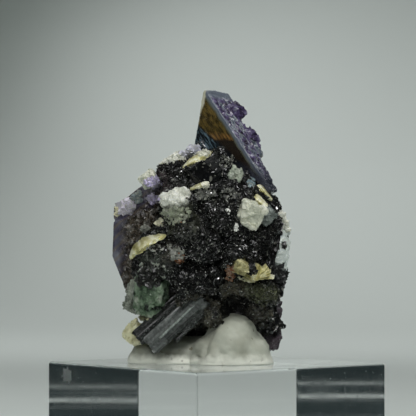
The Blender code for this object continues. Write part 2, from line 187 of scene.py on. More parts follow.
# Crystals set in the rock: CAD node, finish, slot, face sizes and reliefs, growth, roundness
SUGARY = ((1.1, 0.34), (0.5, 0.16))
BROAD = ((2.4, 0.6), (1.1, 0.16))
CLUSTERED = ((1.5, 0.5), (0.7, 0.2))
SET_CRYSTALS = (
    ("white_feldspar", "sugary_feldspar", "feldspar", SUGARY, 0.45, 0.9),
    ("edge_feldspar", "feldspar", "feldspar", SUGARY, 0.3, 0.0),
    ("top_feldspar", "feldspar", "feldspar", SUGARY, 0.1, 0.0),
    ("yellow_feldspar", "lime_feldspar", "yellow_feldspar", CLUSTERED, -0.2, 0.0),
    ("gold_feldspar", "yellow_feldspar", "yellow_feldspar", CLUSTERED, -0.2, 0.0),
    ("pale_quartz", "quartz", "quartz", BROAD, 0.1, 0.0),
    ("left_quartz", "hazy_quartz", "quartz", CLUSTERED, 0.0, 0.0),
    ("upper_quartz", "quartz", "quartz", SUGARY, 0.2, 0.0),
    ("smoky_quartz", "grey_quartz", "grey_quartz", BROAD, 0.2, 0.0),
    ("edge_quartz", "edge_quartz", "grey_quartz", BROAD, 0.6, 0.0),
    ("smoky_tip", "smoky", "smoky", BROAD, 0.0, 0.0),
)

# Dark rings of card on the floor, near and far radius in metres
FLOOR_RINGS = ((0.060, 0.214), (0.229, 0.277), (0.287, 0.664))

# Soft lights: name, place, target, size in metres, watts, spread in degrees
SOFT_LIGHTS = (
    ("key", (200, -330, 520), (0, 0, 22), 0.14, 0.14, 55),
    ("fill", (-140, -560, 300), (0, 0, 25), 0.45, 0.14, 44),
    ("top", (-60, 200, 620), (0, 20, 10), 0.4, 0.58, 180),
    ("left_rim", (-336, 238, 504), (-18, -20, 0), 0.12, 0.22, 180),
    ("right_rim", (333, 376, 410), (15, -15, 0), 0.12, 0.22, 180),
    ("left_wall", (-700, -300, 1100), (-1500, -300, 350), 0.6, 3.0, 180),
    ("right_wall", (700, -400, 1100), (1400, -500, 350), 0.6, 3.0, 180),
)

# Spots on the backdrop: name, place, target, cone in degrees, watts
BACKDROP_SPOTS = (
    ("wall_spot", (-263, 1273, 519), (167, 1083, 182), 86, 7.8),
    ("sweep_spot", (-338, 200, 796), (13, 743, 58), 48.7, 13.4),
)

# The camera's place, what it looks at, and its lens for a 36 mm sensor
CAMERA_PLACE = (-1.6, -520, 30)
CAMERA_TARGET = (-1.6, 0, 32.72)
LENS = 212.5

# Small patches of crystals on the near side: name, X and Z, half sizes, colour, sizes, number
PATCHES = (
    ("lavender_upper", (-13.1, 38.1), (1.7, 1.2), (0.62, 0.56, 0.80), (0.5, 1.1), 60),
    ("lavender_lower", (-13.2, 34.6), (1.7, 0.8), (0.52, 0.46, 0.66), (0.4, 1.0), 45),
    ("lilac_crust", (-5.4, 44.9), (2.4, 1.6), (0.60, 0.60, 0.70), (0.6, 1.4), 70),
    ("blade_crust", (-3.4, 44.0), (2.2, 0.7), (0.75, 0.74, 0.62), (0.4, 1.0), 46),
    ("upper_lilac", (-19.2, 32.9), (1.6, 1.5), (0.66, 0.62, 0.72), (0.7, 1.9), 30),
    ("cream_oval", (-20.9, 32.2), (0.4, 1.2), (0.74, 0.70, 0.46), (0.5, 1.0), 16),
    ("teal_facet", (-16.8, 35.0), (0.9, 1.4), (0.17, 0.21, 0.22), (0.6, 1.3), 22),
    ("blue_specks", (7.3, 38.0), (0.9, 1.1), (0.16, 0.24, 0.28), (0.3, 0.7), 26),
    ("pale_green_lump", (4.0, 39.6), (1.4, 1.5), (0.40, 0.45, 0.36), (0.6, 1.3), 34),
    ("cream_lump", (-11.5, 29.7), (0.8, 0.9), (0.80, 0.76, 0.56), (0.6, 1.2), 16),
    ("white_lump", (-14.8, 28.2), (1.1, 0.9), (0.20, 0.205, 0.18), (0.4, 0.8), 20),
    ("hook_lump", (-2.1, 37.5), (0.7, 0.8), (0.85, 0.82, 0.66), (0.5, 1.1), 9),
    ("grey_sugar", (-8.2, 31.2), (3.2, 1.8), (0.34, 0.37, 0.27), (0.35, 0.9), 220),
    ("foot_blacks", (-7.6, 30.4), (3.2, 2.2), (0.024, 0.024, 0.022), (0.25, 0.8), 90),
    ("sugar_foot", (-5.2, 29.0), (1.8, 1.4), (0.075, 0.078, 0.062), (0.3, 0.8), 50),
    ("grey_quartz_specks", (-8.0, 23.2), (1.6, 1.4), (0.24, 0.25, 0.225), (0.35, 0.9), 50),
    ("fleck_band", (-11.0, 24.4), (3.6, 0.8), (0.26, 0.27, 0.245), (0.2, 0.55), 40),
    ("green_flecks", (-13.4, 19.4), (3.2, 2.4), (0.27, 0.31, 0.26), (0.2, 0.55), 190),
    ("green_blacks", (-13.4, 18.6), (3.2, 2.6), (0.022, 0.022, 0.020), (0.4, 1.2), 120),
    # Painted glints: these two near-white patches stand in for bright glints as well as white flakes.
    ("centre_flake_and_glint", (2.6, 32.1), (0.5, 0.6), (0.95, 0.95, 0.90), (0.35, 0.75), 4),
    ("right_flake_and_glint", (4.3, 28.5), (0.8, 0.8), (0.95, 0.95, 0.90), (0.3, 0.8), 7),
    ("flakes_upper", (-2.3, 35.5), (2.6, 1.1), (0.15, 0.155, 0.14), (0.2, 0.7), 80),
    ("flakes_middle", (-6.0, 27.2), (3.4, 1.7), (0.056, 0.058, 0.051), (0.2, 0.6), 110),
    ("flakes_right", (3.0, 35.6), (2.2, 1.2), (0.10, 0.105, 0.095), (0.2, 0.6), 60),
    ("flakes_top", (2.4, 42.6), (2.0, 1.6), (0.12, 0.125, 0.11), (0.15, 0.5), 60),
    ("black_knob", (13.5, 18.7), (0.8, 1.4), (0.018, 0.018, 0.018), (1.0, 2.0), 26),
    ("black_inclusion", (14.3, 24.6), (0.4, 0.8), (0.012, 0.012, 0.012), (0.5, 1.0), 14),
    ("yellow_crumbs", (-15.8, 9.4), (2.0, 0.6), (0.70, 0.66, 0.42), (0.4, 0.9), 26),
    ("rust_crust", (3.0, 19.2), (0.9, 1.9), (0.26, 0.095, 0.032), (0.25, 0.7), 60),
    ("rust_left", (-7.4, 22.4), (0.9, 1.0), (0.26, 0.10, 0.035), (0.25, 0.6), 34),
    ("rust_upper", (-8.0, 29.9), (1.3, 0.5), (0.30, 0.15, 0.06), (0.25, 0.6), 22),
)

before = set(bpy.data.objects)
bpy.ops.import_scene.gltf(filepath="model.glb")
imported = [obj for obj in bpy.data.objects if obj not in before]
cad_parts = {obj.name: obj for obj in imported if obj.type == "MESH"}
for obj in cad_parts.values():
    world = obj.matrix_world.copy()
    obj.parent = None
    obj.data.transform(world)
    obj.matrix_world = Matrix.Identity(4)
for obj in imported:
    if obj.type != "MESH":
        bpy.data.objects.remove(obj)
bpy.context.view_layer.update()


def turned(degrees_xyz):
    return Euler([math.radians(d) for d in degrees_xyz]).to_matrix().to_4x4()


LATTICE = (
    Matrix.Rotation(math.radians(LATTICE_TURN[2]), 4, "Z")
    @ Matrix.Rotation(math.radians(LATTICE_TURN[0]), 4, "X")
    @ Matrix.Rotation(math.radians(LATTICE_TURN[1]), 4, "Y")
)
LATTICE_BACK = tuple(LATTICE.inverted().to_euler())


# Repeatable noise on arrays of points

def hashed(cells, salt):
    """A repeatable number from 0 to 1 for each whole-number cell."""
    cells = cells.astype(np.int64).astype(np.uint64)
    mixed = cells[:, 0] * np.uint64(73856093) ^ cells[:, 1] * np.uint64(19349663)
    mixed ^= cells[:, 2] * np.uint64(83492791) ^ np.uint64(salt * 2654435761 + 12345)
    mixed ^= mixed >> np.uint64(29)
    mixed *= np.uint64(0xBF58476D1CE4E5B9)
    mixed ^= mixed >> np.uint64(32)
    return (mixed & np.uint64(0xFFFFFF)).astype(float) / 0xFFFFFF


def soft_noise(points, size, salt):
    """Smooth noise from -1 to 1 with features of about the given size."""
    scaled = np.asarray(points) / size
    base = np.floor(scaled)
    share = scaled - base
    share = share * share * (3 - 2 * share)
    total = np.zeros(len(scaled))
    for corner in itertools.product((0, 1), repeat=3):
        weight = np.prod(np.where(np.array(corner) == 1, share, 1 - share), axis=1)
        total += weight * hashed(base + corner, salt)
    return total * 2 - 1


def cell_faces(points, size, relief, salt):
    """How far flat crystal faces push each point out: every noise cell has one leaning plane."""
    scaled = points / size
    base = np.floor(scaled)
    nearest = np.full(len(points), 1e9)
    middle = np.zeros_like(scaled)
    home = np.zeros_like(base)
    for offset in itertools.product((-1, 0, 1), repeat=3):
        cell = base + offset
        seed = cell + np.stack([hashed(cell, salt + k) for k in range(3)], axis=1)
        away = ((scaled - seed) ** 2).sum(axis=1)
        closer = away < nearest
        nearest[closer] = away[closer]
        middle[closer] = seed[closer]
        home[closer] = cell[closer]
    lean = np.stack([hashed(home, salt + 3 + k) for k in range(3)], axis=1) * 2 - 1
    return relief * (((scaled - middle) * lean).sum(axis=1) + 0.6 * (hashed(home, salt + 6) - 0.5))


# Meshes

def box(low, high):
    low, high = Vector(low), Vector(high)
    bm = bmesh.new()
    bmesh.ops.create_cube(bm, size=1.0)
    bm.transform(Matrix.Translation((low + high) / 2) @ Matrix.Diagonal((*(high - low), 1.0)))
    return bm


def cad_shape(node):
    """A CAD node's mesh in the specimen's frame, its seams merged."""
    bm = bmesh.new()
    bm.from_mesh(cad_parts[node].data)
    bmesh.ops.remove_doubles(bm, verts=bm.verts, dist=2e-6)
    bm.transform(Matrix.Scale(1 / MM, 4) @ STAND.inverted())
    bm.normal_update()
    return bm


def lists_of(bm):
    """Points and faces of a bmesh, which is then freed."""
    bm.verts.index_update()
    points = np.array([vert.co[:] for vert in bm.verts])
    faces = [tuple(vert.index for vert in face.verts) for face in bm.faces]
    bm.free()
    return points, faces


def remeshed(shapes, voxel):
    """The outer skin of overlapping shapes as one even mesh: points, normals and faces."""
    mesh = bpy.data.meshes.new("shapes")
    whole = bmesh.new()
    for shape in shapes:
        shape.to_mesh(mesh)
        shape.free()
        whole.from_mesh(mesh)
    whole.to_mesh(mesh)
    whole.free()
    obj = bpy.data.objects.new("remeshed", mesh)
    bpy.context.scene.collection.objects.link(obj)
    remesh = obj.modifiers.new("skin", "REMESH")
    remesh.mode = "VOXEL"
    remesh.voxel_size = voxel
    graph = bpy.context.evaluated_depsgraph_get()
    skin = bpy.data.meshes.new_from_object(obj.evaluated_get(graph))
    points = np.zeros(len(skin.vertices) * 3)
    skin.vertices.foreach_get("co", points)
    normals = np.zeros(len(skin.vertices) * 3)
    skin.vertex_normals.foreach_get("vector", normals)
    faces = [tuple(face.vertices) for face in skin.polygons]
    bpy.data.objects.remove(obj)
    bpy.data.meshes.remove(mesh)
    bpy.data.meshes.remove(skin)
    return points.reshape(-1, 3), normals.reshape(-1, 3), faces


def piece(name, points, faces, material, replaced=(), smooth=False, tints=None):
    """A piece of the specimen from points in millimetres."""
    mesh = bpy.data.meshes.new(name)
    mesh.from_pydata((np.asarray(points) * MM).tolist(), [], faces)
    mesh.transform(STAND)
    if tints is not None:
        layer = mesh.attributes.new("tint", "FLOAT_COLOR", "POINT")
        layer.data.foreach_set("color", np.asarray(tints, np.float32).ravel())
    mesh.validate()
    mesh.materials.append(material)
    mesh.polygons.foreach_set("use_smooth", [smooth] * len(mesh.polygons))
    obj = bpy.data.objects.new(name, mesh)
    bpy.context.scene.collection.objects.link(obj)
    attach(obj, "root")
    if replaced:
        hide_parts(*replaced)
    return obj


def facets(points, cells):
    """How far each point is pushed by crystal faces of several sizes."""
    push = np.zeros(len(points))
    for number, (size, relief) in enumerate(cells):
        push += cell_faces(points, size, relief, SEED + 10 * number)
    return push


def rounded(points, share):
    """Points drawn from a box's outline some way towards the ellipsoid inside it."""
    low, high = points.min(axis=0), points.max(axis=0)
    middle, half = (low + high) / 2, (high - low) / 2
    place = (points - middle) / half
    ratio = np.abs(place).max(axis=1) / np.maximum(np.linalg.norm(place, axis=1), 1e-6)
    return middle + (points - middle) * (1 + share * (ratio - 1))[:, None]


def lump(node, cells, material, out, roundness):
    """A crystal group in place of a CAD node: its skin, rounded off and then pushed by crystal faces."""
    points, normals, faces = remeshed([cad_shape(node)], LUMP_VOXEL)
    points = rounded(points, roundness)
    points = points + normals * (facets(points, cells) + out)[:, None]
    return piece(node + "_crystal", points, faces, material, (node,))


def slice_off(bm, point, normal):
    """Cuts away what lies beyond a plane and closes the cut."""
    geometry = bm.verts[:] + bm.edges[:] + bm.faces[:]
    bmesh.ops.bisect_plane(bm, geom=geometry, plane_co=point, plane_no=normal, clear_outer=True, dist=1e-7)
    bmesh.ops.holes_fill(bm, edges=[edge for edge in bm.edges if edge.is_boundary], sides=0)
    bm.normal_update()
    bmesh.ops.recalc_face_normals(bm, faces=bm.faces)


def crystal_forms(count, chips, chance):
    """Small crystal shapes of unit size: blocks with chipped corners, each leaning a little."""
    forms = []
    for _ in range(count):
        bm = box((-0.5, -0.5, -0.5), (0.5, 0.5, 0.5))
        for _ in range(chips):
            way = Vector(chance.uniform(-1, 1, 3)).normalized()
            reach = sum(abs(way[i]) for i in range(3)) / 2
            slice_off(bm, way * reach * chance.uniform(0.55, 0.85), way)
        points, faces = lists_of(bm)
        points[:, 0] += points[:, 2] * chance.uniform(-0.35, 0.35)
        forms.append((points, faces))
    return forms


def needle_forms(count, chance):
    """Small three-sided prisms of unit size, with ends that lean."""
    forms = []
    faces = [(0, 2, 1), (3, 4, 5), (0, 1, 4, 3), (1, 2, 5, 4), (2, 0, 3, 5)]
    for _ in range(count):
        around = np.radians(np.array((90, 210, 330)) + chance.uniform(-25, 25, 3))
        rim = np.stack([np.cos(around), np.sin(around)], axis=1) * 0.5
        ends = [
            np.column_stack([np.full(3, side) + chance.uniform(-0.15, 0.15, 3), rim]) for side in (-0.5, 0.5)
        ]
        forms.append((np.concatenate(ends), faces))
    return forms


def any_turns(count, chance, groups=None):
    """Rotation matrices that point every way, or nearly alike within each numbered group."""
    quaternions = chance.normal(size=(count, 4))
    if groups is not None:
        bases = chance.normal(size=(groups.max() + 1, 4))
        bases /= np.linalg.norm(bases, axis=1)[:, None]
        quaternions = bases[groups] + 0.16 * quaternions
    w, x, y, z = (quaternions / np.linalg.norm(quaternions, axis=1)[:, None]).T
    return np.stack([
        1 - 2 * (y * y + z * z), 2 * (x * y - z * w), 2 * (x * z + y * w),
        2 * (x * y + z * w), 1 - 2 * (x * x + z * z), 2 * (y * z - x * w),
        2 * (x * z - y * w), 2 * (y * z + x * w), 1 - 2 * (x * x + y * y),
    ], axis=1).reshape(-1, 3, 3)


def scattered(name, spots, sizes, turns, forms, tints, material, chance):
    """Small crystals as one mesh: at each spot one of the forms, with its size, turn and tint."""
    points, faces, shades = [], [], []
    total = 0
    for spot, size, turn, tint in zip(spots, sizes, turns, tints):
        form_points, form_faces = forms[chance.integers(len(forms))]
        points.append(spot + (form_points * size) @ turn.T)
        faces += [tuple(index + total for index in face) for face in form_faces]
        shades.append(np.tile((*tint, 1.0), (len(form_points), 1)))
        total += len(form_points)
    return piece(name, np.concatenate(points), faces, material, tints=np.concatenate(shades))


def surface_spots(points, faces, count, chance):
    """Spots spread evenly by area over a mesh, and the surface's way out at each."""
    corners = np.array([(face[0], face[k], face[k + 1]) for face in faces for k in range(1, len(face) - 1)])
    a, b, c = (points[corners[:, k]] for k in range(3))
    cross = np.cross(b - a, c - a)
    area = np.linalg.norm(cross, axis=1)
    chosen = chance.choice(len(corners), count, p=area / area.sum())
    u, v = chance.random((2, count))
    over = u + v > 1
    u[over], v[over] = 1 - u[over], 1 - v[over]
    spots = a[chosen] + (b - a)[chosen] * u[:, None] + (c - a)[chosen] * v[:, None]
    return spots, cross[chosen] / np.maximum(area[chosen], 1e-12)[:, None]


def inside(points, centre, radii):
    """0 at an ellipsoid's centre, 1 at its surface and more outside."""
    return np.sqrt((((points - np.array(centre)) / np.array(radii)) ** 2).sum(axis=1))


def smoothed(points, faces, rounds):
    """Points drawn to the middle of their neighbours, several times."""
    pairs = np.array([(a, b) for face in faces for a, b in zip(face, face[1:] + face[:1])])
    pairs = np.concatenate([pairs, pairs[:, ::-1]])
    count = np.bincount(pairs[:, 0], minlength=len(points))[:, None]
    for _ in range(rounds):
        total = np.zeros_like(points)
        np.add.at(total, pairs[:, 0], points[pairs[:, 1]])
        points = points * 0.4 + total / count * 0.6
    return points


# Materials

class Finish:
    """A procedural material. Sockets take numbers, colours or the outputs of the nodes made here."""

    def __init__(self, name, **sockets):
        self.material = bpy.data.materials.new(name)
        self.material.use_nodes = True
        self.nodes = self.material.node_tree.nodes
        self.links = self.material.node_tree.links
        self.shader = self.nodes["Principled BSDF"]
        for socket, value in sockets.items():
            self.feed(self.shader.inputs[socket.replace("_", " ")], value)

    def feed(self, socket, value):
        if isinstance(value, bpy.types.NodeSocket):
            self.links.new(value, socket)
        elif isinstance(value, tuple) and len(value) == 3 and socket.type == "RGBA":
            socket.default_value = (*value, 1.0)
        else:
            socket.default_value = value

    def set(self, socket, value):
        self.feed(self.shader.inputs[socket], value)

    def node(self, kind, inputs, **settings):
        made = self.nodes.new(kind)
        for name, value in settings.items():
            setattr(made, name, value)
        for socket, value in inputs.items():
            self.feed(made.inputs[socket], value)
        return made

    def place(self, stretch=(1, 1, 1), turn=(0, 0, 0), start=(0, 0, 0)):
        """Where a point is in the specimen's frame, in millimetres: less start, turned, then stretched."""
        where = self.node("ShaderNodeTexCoord", {}).outputs["Object"]
        origin = tuple(STAND @ (Vector(start) * MM))
        moved = self.node("ShaderNodeVectorMath", {0: where, 1: origin}, operation="SUBTRACT").outputs[0]
        way = (Euler(turn).to_matrix() @ STAND.to_3x3().inverted()).to_euler()
        faced = self.node("ShaderNodeMapping", {"Vector": moved, "Rotation": tuple(way)}).outputs["Vector"]
        sizes = tuple(s / MM for s in stretch)
        return self.node("ShaderNodeVectorMath", {0: faced, 1: sizes}, operation="MULTIPLY").outputs[0]

    def noise(self, size, detail=3.0, place=None, roughness=0.5):
        inputs = {"Vector": place or self.place(), "Scale": 1 / size}
        inputs |= {"Detail": detail, "Roughness": roughness}
        return self.node("ShaderNodeTexNoise", inputs).outputs["Fac"]

    def cells(self, size, output="Color", place=None, feature="F1"):
        inputs = {"Vector": place or self.place(), "Scale": 1 / size}
        return self.node("ShaderNodeTexVoronoi", inputs, feature=feature).outputs[output]

    def shades(self, size, place=None):
        """A number from 0 to 1 that is the same all over each grain."""
        colour = self.cells(size, "Color", place)
        return self.node("ShaderNodeSeparateColor", {"Color": colour}).outputs["Red"]

    def ramp(self, share, stops):
        """A colour from a number from 0 to 1, through (place, colour) stops."""
        made = self.node("ShaderNodeValToRGB", {"Fac": share})
        elements = made.color_ramp.elements
        while len(elements) < len(stops):
            elements.new(0.5)
        for element, (place, colour) in zip(elements, stops):
            element.position = place
            element.color = (*colour, 1.0) if isinstance(colour, tuple) else (colour, colour, colour, 1.0)
        return made.outputs["Color"]

    def mix(self, share, first, second, blend="MIX"):
        made = self.node("ShaderNodeMix", {"Factor": share}, data_type="RGBA", blend_type=blend)
        self.feed(made.inputs[6], first)
        self.feed(made.inputs[7], second)
        return made.outputs[2]

    def sum(self, operation, *values):
        inputs = dict(enumerate(values))
        return self.node("ShaderNodeMath", inputs, operation=operation).outputs[0]

    def plus(self, first, second, times=1.0):
        """The first number plus the second, taken some times."""
        return self.sum("ADD", first, self.sum("MULTIPLY", second, times))

    def spread(self, value, low, high, to_low=0.0, to_high=1.0):
        inputs = {"Value": value, "From Min": low, "From Max": high, "To Min": to_low, "To Max": to_high}
        return self.node("ShaderNodeMapRange", inputs).outputs["Result"]

    def fade(self, value, low, high, first, second):
        """From the first colour to the second while the value goes from low to high."""
        return self.mix(self.spread(value, low, high), first, second)

    def gloss(self, size, low, high, detail=3.0):
        """Roughness that wanders between low and high."""
        self.set("Roughness", self.spread(self.noise(size, detail), 0.3, 0.7, low, high))

    def place_parts(self):
        """X, Y and Z in the specimen's frame, in millimetres."""
        parts = self.node("ShaderNodeSeparateXYZ", {"Vector": self.place()})
        return [parts.outputs[axis] for axis in "XYZ"]

    def tint(self):
        return self.node("ShaderNodeAttribute", {}, attribute_name="tint").outputs["Color"]

    def bump(self, height, depth, strength=1.0):
        """Fine relief of that depth in millimetres."""
        made = self.node("ShaderNodeBump", {"Height": height, "Distance": depth * MM, "Strength": strength})
        self.set("Normal", made.outputs["Normal"])

    def absorb(self, colour, density):
        """What the body of a clear material takes from the light, per metre."""
        made = self.node("ShaderNodeVolumeAbsorption", {"Color": colour, "Density": density})
        self.links.new(made.outputs["Volume"], self.nodes["Material Output"].inputs["Volume"])


def black_rock():
    made = Finish("black_rock", IOR=1.5)
    shade = made.fade(made.noise(0.9, 4), 0.35, 0.65, made.tint(), (0.005, 0.005, 0.006))
    made.set("Base Color", made.fade(made.shades(0.5), 0.95, 0.96, shade, (0.14, 0.14, 0.12)))
    made.gloss(1.5, 0.08, 0.3, 4)
    made.bump(made.noise(0.4, 3), 0.03)
    return made.material


def black_grain():
    made = Finish("black_grain", IOR=1.62)
    made.set("Base Color", made.fade(made.noise(0.5), 0.5, 0.8, made.tint(), BLACK))
    made.gloss(0.6, 0.04, 0.22)
    return made.material


def pale_grain():
    made = Finish("pale_grain", IOR=1.53)
    made.set("Base Color", made.fade(made.noise(0.5), 0.45, 0.75, made.tint(), (0.45, 0.45, 0.38)))
    made.gloss(0.8, 0.25, 0.5)
    return made.material


def stone(name, light, dark, cell, roughness, subsurface=0.0, transmission=0.0, foot=None, relief=0.12):
    """A pale crystal lump; foot is a height range over which it turns to greenish grey downward, partly its
    own greenish colour and partly painted shade under its top-lit upper part.
    """
    made = Finish(name, IOR=1.53, Subsurface_Weight=subsurface, Transmission_Weight=transmission)
    if subsurface:
        made.set("Subsurface Radius", (1.0, 0.95, 0.8))
        made.set("Subsurface Scale", 0.8 * MM)
    patches = made.spread(made.noise(1.6, 4), 0.35, 0.68)
    grains = made.spread(made.shades(cell), 0.0, 1.0, -0.3, 0.3)
    share = made.node("ShaderNodeClamp", {"Value": made.sum("ADD", patches, grains)}).outputs[0]
    colour = made.mix(share, dark, light)
    if foot:
        # Painted shade, partly its own colour: below the foot range the lump turns darker greenish grey.
        wobble = made.spread(made.noise(1.0, 3), 0.3, 0.7, -0.8, 0.8)
        height = made.sum("ADD", made.place_parts()[2], wobble)
        shaded = made.mix(share, (0.05, 0.055, 0.04), (0.19, 0.20, 0.155))
        colour = made.fade(height, *foot, shaded, colour)
    made.set("Base Color", colour)
    made.gloss(0.7, roughness - 0.12, roughness + 0.15)
    made.bump(made.cells(cell * 0.6, "Distance"), relief, 0.7)
    return made.material


def mica_finish():
    made = Finish("mica", IOR=1.58, Subsurface_Weight=0.25)
    made.set("Subsurface Radius", (1.0, 0.9, 0.6))
    made.set("Subsurface Scale", 0.5 * MM)
    cream = made.ramp(made.noise(1.4, 4), (
        (0.32, (0.34, 0.31, 0.11)), (0.48, (0.68, 0.63, 0.31)), (0.62, (1.0, 0.97, 0.72)),
    ))
    made.set("Base Color", made.mix(0.8, cream, made.tint(), "MULTIPLY"))
    made.gloss(0.8, 0.25, 0.55)
    made.bump(made.noise(0.25, 3), 0.04)
    return made.material


def crown_gold(made, height):
    """The crown's golden inner zone, orange and then dark towards its foot."""
    streaks = made.spread(made.noise(0.45, 4, made.place((1, 1, 0.12), LATTICE_BACK)), 0.34, 0.66)
    specks = made.spread(made.noise(0.8, 6, made.place((1, 1, 0.4), LATTICE_BACK), 0.7), 0.36, 0.66)
    share = made.sum("MULTIPLY", made.spread(streaks, 0, 1, 0.35, 1), specks)
    gold = made.mix(share, (0.035, 0.026, 0.009), (0.32, 0.22, 0.065))
    orange = made.mix(streaks, (0.05, 0.027, 0.012), (0.40, 0.22, 0.07))
    gold = made.fade(height, 48.0, 49.0, orange, gold)
    return made.fade(height, 46.9, 47.7, (0.030, 0.022, 0.016), gold)


def crown_colours(made, x, z, height, wobble):
    """The phantom zones of the crown's front, its teal foot and cream rim, and its purple outer side."""
    corner = made.place(turn=LATTICE_BACK, start=tuple(CROWN_CORNER))
    across = made.node("ShaderNodeSeparateXYZ", {"Vector": corner}).outputs["X"]
    depth = made.sum("MULTIPLY", across, -1.0)
    zone = made.spread(made.plus(depth, wobble, 0.7), 0.0, 4.0)
    bands = made.ramp(zone, (
        (0.0, (0.52, 0.56, 0.60)), (0.03, (0.38, 0.42, 0.48)), (0.07, (0.12, 0.15, 0.22)),
        (0.15, (0.20, 0.23, 0.27)), (0.22, (0.15, 0.16, 0.13)), (0.30, (0.08, 0.075, 0.035)),
    ))
    zones = made.fade(zone, 0.24, 0.33, bands, crown_gold(made, height))
    # Painted light: the teal foot is lit teal to the left and dark to the right.
    lit = made.fade(x, -0.8, 0.8, (0.13, 0.20, 0.25), (0.02, 0.022, 0.024))
    fibres = made.noise(0.4, 4, made.place((1, 1, 0.2), LATTICE_BACK))
    teal = made.fade(fibres, 0.46, 0.62, (0.008, 0.012, 0.016), lit)
    front = made.fade(made.sum("ADD", made.plus(z, x, 0.9), wobble), 46.7, 47.5, teal, zones)
    rim = made.sum("ADD", made.plus(x, z, -0.263), wobble)
    front = made.fade(rim, -17.15, -16.85, (0.80, 0.78, 0.60), front)
    lumps = made.ramp(made.noise(1.5, 4), (
        (0.36, (0.035, 0.026, 0.06)), (0.48, (0.105, 0.075, 0.18)), (0.58, (0.20, 0.17, 0.31)),
        (0.74, (0.50, 0.50, 0.62)),
    ))
    smooth = made.mix(made.noise(1.2, 3), (0.12, 0.14, 0.22), (0.26, 0.30, 0.38))
    purple = made.fade(height, 55.8, 56.6, lumps, smooth)
    return made.fade(depth, 0.0, 0.1, purple, front)


def flank_colours(made, x, y, z, height, wobble):
    """Smoky veils beside the rock, lilac and violet at the left edge, partly the fluorite's own colour and
    partly painted rim light from the backdrop behind, and cloudy layers on the far side.
    """
    veils = made.ramp(made.noise(1.7, 5, roughness=0.65), (
        (0.36, (0.014, 0.010, 0.006)), (0.48, (0.07, 0.052, 0.034)), (0.56, (0.16, 0.14, 0.11)),
        (0.70, (0.50, 0.48, 0.46)),
    ))
    grains = made.spread(made.shades(0.8), 0.0, 1.0, 0.35, 1.5)
    veils = made.mix(1.0, veils, grains, "MULTIPLY")
    violet = made.fade(made.noise(1.3, 5), 0.35, 0.65, (0.055, 0.050, 0.062), (0.33, 0.33, 0.345))
    lilac = made.fade(height, 27.0, 29.0, (0.10, 0.12, 0.16), violet)
    # Painted rim light: the pale violet strip at the left edge is partly the fluorite's own colour and
    # partly light from behind.
    left = made.fade(made.plus(x, wobble, 3.0), -21.4, -20.3, lilac, veils)
    pale = made.mix(made.noise(1.2, 4), (0.20, 0.16, 0.26), (0.80, 0.78, 0.84))
    left = made.fade(made.plus(made.plus(z, x, -0.7), wobble, 2.0), 45.6, 47.0, left, pale)
    low_side = made.mix(made.noise(2.4, 3), (0.022, 0.022, 0.034), (0.10, 0.11, 0.15))
    left = made.fade(x, 2.0, 3.5, left, low_side)
    cloudy = made.ramp(made.noise(5.0, 4), (
        (0.34, (0.045, 0.040, 0.070)), (0.46, (0.105, 0.092, 0.15)), (0.56, (0.19, 0.19, 0.25)),
        (0.70, (0.40, 0.41, 0.46)),
    ))
    layers = made.node("ShaderNodeTexWave", {
        "Vector": made.place(turn=LATTICE_BACK),
        "Scale": 0.16, "Distortion": 1.2, "Detail": 3.0, "Detail Scale": 0.5,
    }, bands_direction="Z").outputs["Fac"]
    cloudy = made.mix(made.spread(layers, 0.55, 0.95, 0.0, 0.5), cloudy, (0.30, 0.24, 0.16))
    return made.fade(made.plus(y, wobble, 4.0), 3.0, 6.0, left, cloudy)


def fluorite_finish():
    made = Finish("fluorite", IOR=1.434, Transmission_Weight=0.4)
    x, y, z = made.place_parts()
    wobble = made.spread(made.noise(2.0, 3), 0.2, 0.8, -0.3, 0.3)
    height = made.sum("ADD", z, wobble)
    crown = crown_colours(made, x, z, height, wobble)
    flank = flank_colours(made, x, y, z, height, wobble)
    made.set("Base Color", made.fade(height, 38.6, 42.6, flank, crown))
    made.set("Roughness", made.spread(made.noise(1.8, 4), 0.35, 0.7, 0.05, 0.28))
    made.absorb((0.58, 0.54, 0.60), 20.0)
    made.bump(made.noise(0.6, 4), 0.06, 0.6)
    return made.material


def green_finish():
    made = Finish("green_fluorite", IOR=1.434, Transmission_Weight=0.35)
    made.set("Base Color", made.ramp(made.noise(2.2, 5), (
        (0.34, (0.018, 0.026, 0.018)), (0.44, (0.11, 0.17, 0.105)), (0.56, (0.25, 0.35, 0.23)),
        (0.70, (0.58, 0.63, 0.52)),
    )))
    made.gloss(1.0, 0.08, 0.3)
    made.bump(made.noise(0.6, 4), 0.06)
    return made.material


def prism_finish(name, tone):
    made = Finish(name, IOR=1.62)
    wear = made.spread(made.noise(0.7, 4), 0.4, 0.8, 0.6, 1.6)
    shade = made.mix(1.0, made.tint(), (tone, tone * 1.1, tone * 1.04), "MULTIPLY")
    made.set("Base Color", made.mix(1.0, shade, wear, "MULTIPLY"))
    made.gloss(0.8, 0.12, 0.36)
    made.bump(made.noise(0.4, 3), 0.03)
    return made.material


